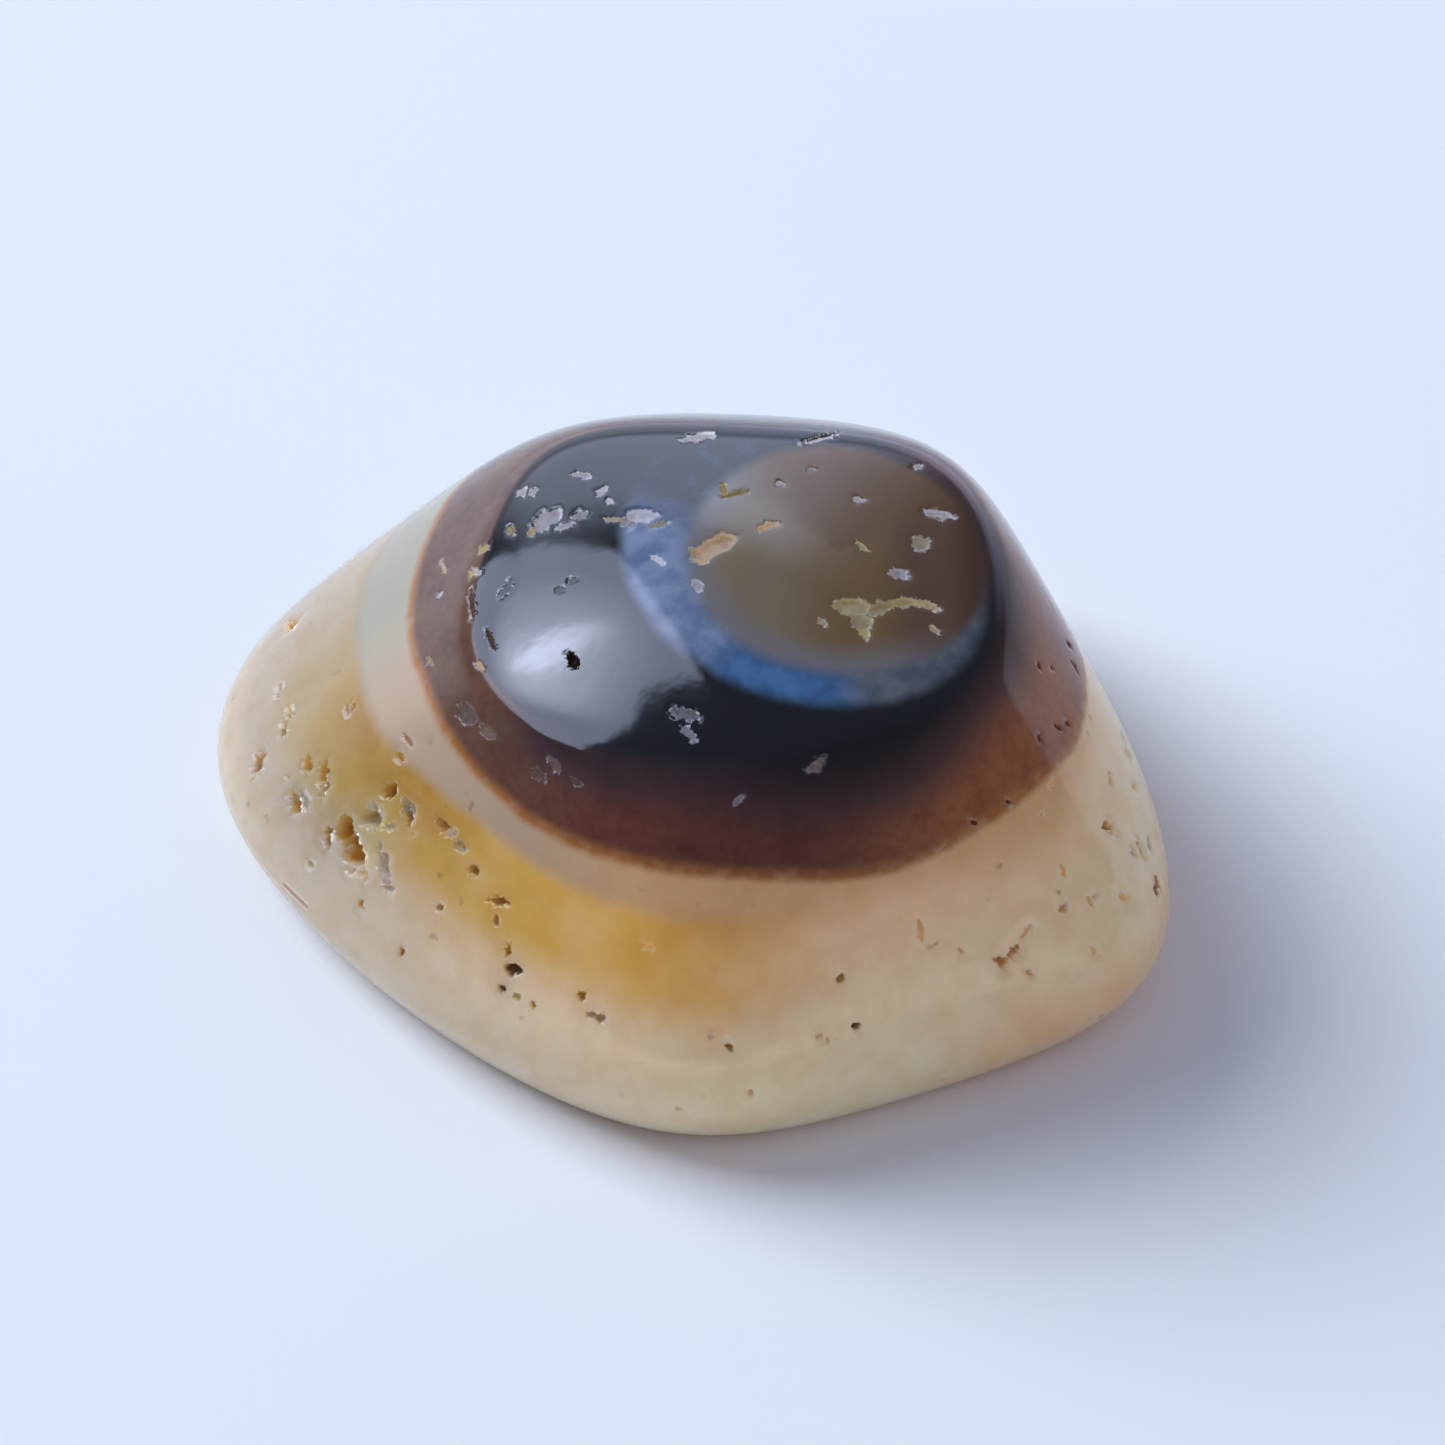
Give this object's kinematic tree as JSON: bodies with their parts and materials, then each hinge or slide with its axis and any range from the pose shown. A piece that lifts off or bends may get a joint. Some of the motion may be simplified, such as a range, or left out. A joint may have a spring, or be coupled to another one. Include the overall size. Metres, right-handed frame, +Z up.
{
  "type": "eye agate",
  "caption": "Polished eye agate: a low cushion-shaped banded stone with a gently domed top, a ringed eye, pitted slopes and a flat underside.",
  "frame": {"origin": "on the flat underside, under the middle of the stone's bounding box", "axes": "+X along the stone's long way, towards the end that is at the right in the picture; +Z up out of the domed top with the eye; the picture's camera is on the -Y side"},
  "size_m": [0.0234, 0.02, 0.01],
  "materials": {
    "eye_agate": "polished, translucent cream and honey chalcedony with a dark brown to black cap and a blue-grey ring around an olive-brown eye; small natural pits"
  },
  "bodies": {
    "root": {"eye_agate": "eye_agate"}
  },
  "joints": []
}
